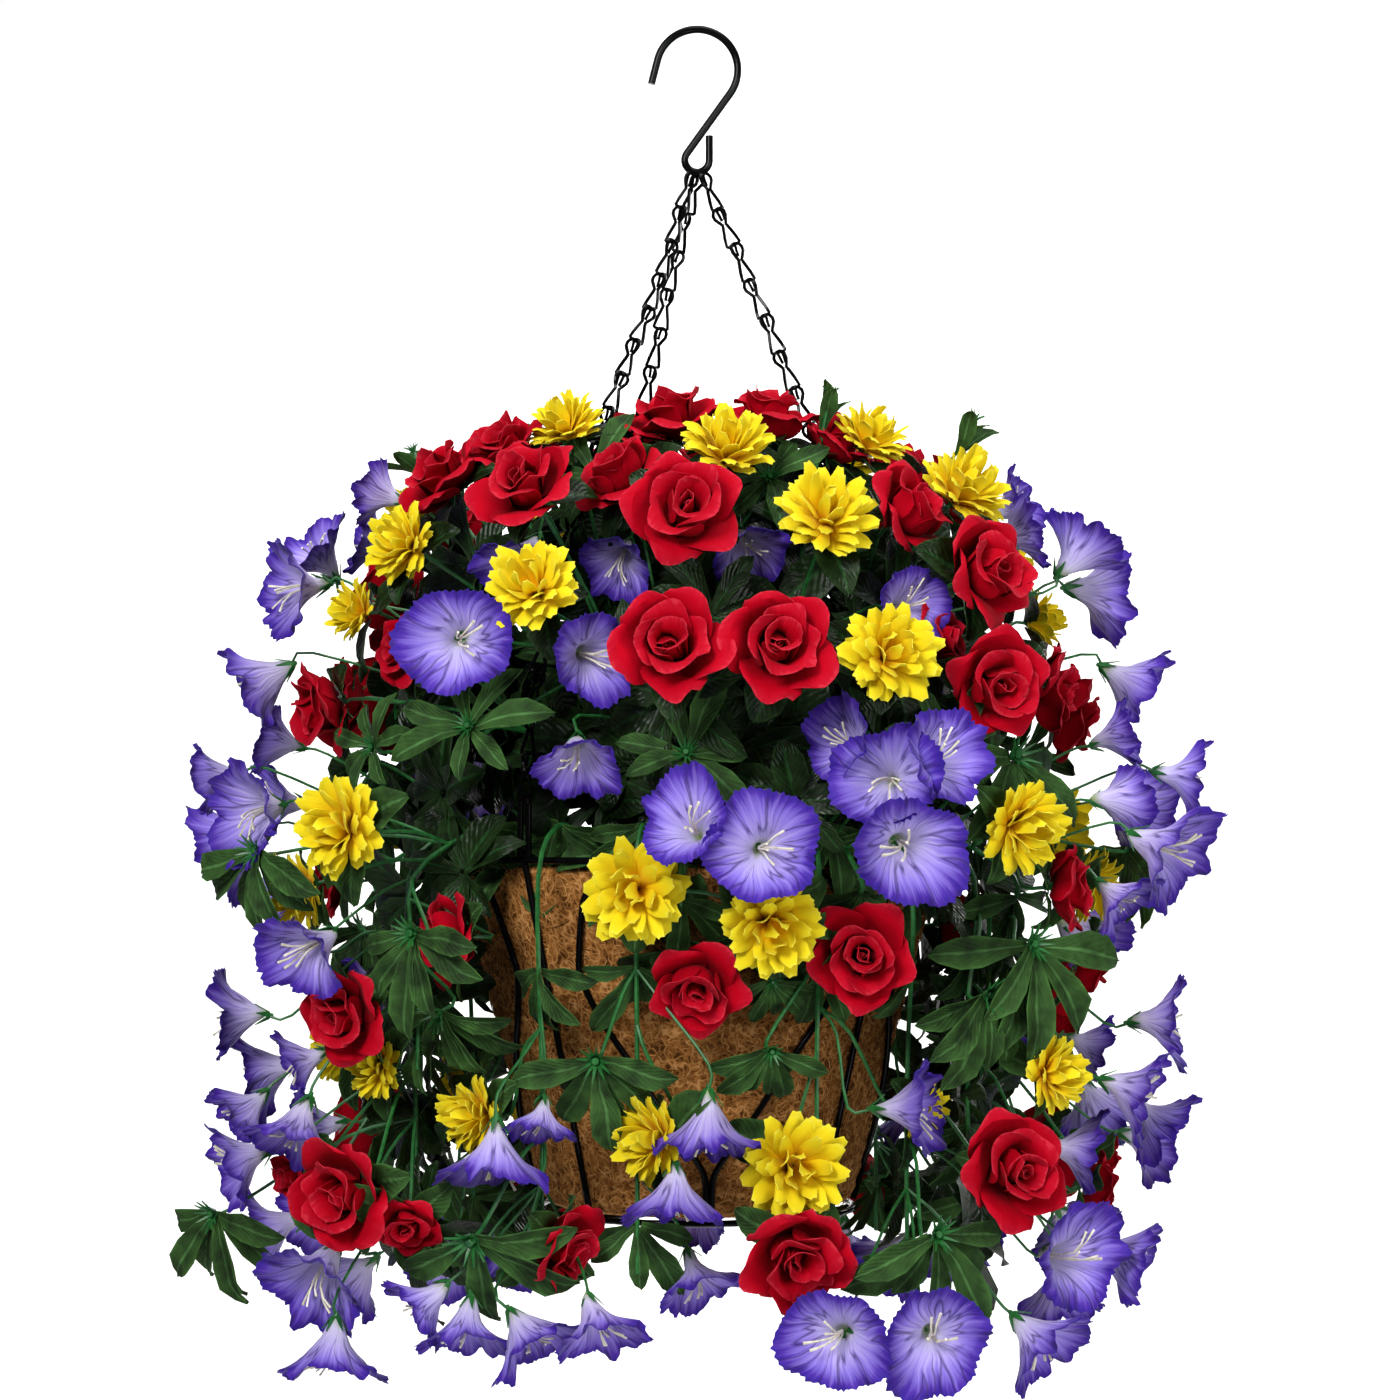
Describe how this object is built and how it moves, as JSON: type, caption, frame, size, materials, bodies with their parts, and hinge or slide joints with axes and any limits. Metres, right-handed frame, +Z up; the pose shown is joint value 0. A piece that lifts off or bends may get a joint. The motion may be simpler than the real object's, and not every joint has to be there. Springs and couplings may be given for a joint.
{
  "type": "mixed hanging basket",
  "caption": "Wire hanging basket with a coir liner, chains and an S-hook, filled with trailing artificial roses, chrysanthemums and morning glories.",
  "frame": {"origin": "the bearing point inside the top bend of the S-hook, where the basket hangs", "axes": "+Z up along the basket's axis, -Y towards the front of the arrangement, +X to its right"},
  "size_m": [0.6198, 0.4952, 0.8076],
  "materials": {
    "wire_black": "gloss black powder coat on steel wire",
    "coir": "matted coconut fibre",
    "floral_foam": "matte",
    "stem_green": "satin moulded polyethylene",
    "leaf_green": "printed and waxed polyester leaf",
    "rose_red": "matte dyed polyester petal",
    "mum_yellow": "matte dyed polyester petal",
    "glory_violet": "matte dyed polyester petal"
  },
  "bodies": {
    "root": {"s_hook": "wire_black", "chain_front_left": "wire_black", "chain_right": "wire_black", "chain_back_left": "wire_black", "hanger_loop_front_left": "wire_black", "hanger_loop_right": "wire_black", "hanger_loop_back_left": "wire_black", "rim_ring": "wire_black", "base_ring": "wire_black", "base_cross": "wire_black", "frame_rib_1": "wire_black", "frame_rib_2": "wire_black", "frame_rib_3": "wire_black", "frame_rib_4": "wire_black", "scroll_wire_1": "wire_black", "scroll_wire_2": "wire_black", "scroll_wire_3": "wire_black", "scroll_wire_4": "wire_black", "scroll_wire_5": "wire_black", "scroll_wire_6": "wire_black", "scroll_wire_7": "wire_black", "scroll_wire_8": "wire_black", "coir_liner": "coir", "floral_foam": "floral_foam", "crown_spray_front_1": "stem_green", "crown_spray_back_1": "stem_green", "crown_spray_front_2": "stem_green", "crown_spray_back_2": "stem_green", "crown_spray_front_3": "stem_green", "crown_spray_back_3": "stem_green", "crown_spray_front_4": "stem_green", "crown_spray_back_4": "stem_green", "crown_spray_front_5": "stem_green", "crown_spray_back_5": "stem_green", "crown_spray_front_6": "stem_green", "crown_spray_back_6": "stem_green", "crown_spray_front_7": "stem_green", "crown_spray_back_7": "stem_green", "crown_spray_front_8": "stem_green", "crown_spray_back_8": "stem_green", "trailing_spray_front_1": "stem_green", "trailing_spray_back_1": "stem_green", "trailing_spray_front_2": "stem_green", "trailing_spray_back_2": "stem_green", "trailing_spray_front_3": "stem_green", "trailing_spray_back_3": "stem_green", "trailing_spray_front_4": "stem_green", "trailing_spray_back_4": "stem_green", "trailing_spray_front_5": "stem_green", "trailing_spray_back_5": "stem_green", "trailing_spray_front_6": "stem_green", "trailing_spray_back_6": "stem_green", "trailing_spray_front_7": "stem_green", "trailing_spray_back_7": "stem_green", "trailing_spray_front_8": "stem_green", "trailing_spray_back_8": "stem_green", "trailing_spray_front_9": "stem_green", "trailing_spray_back_9": "stem_green", "trailing_spray_front_10": "stem_green", "trailing_spray_back_10": "stem_green"}
  },
  "joints": []
}
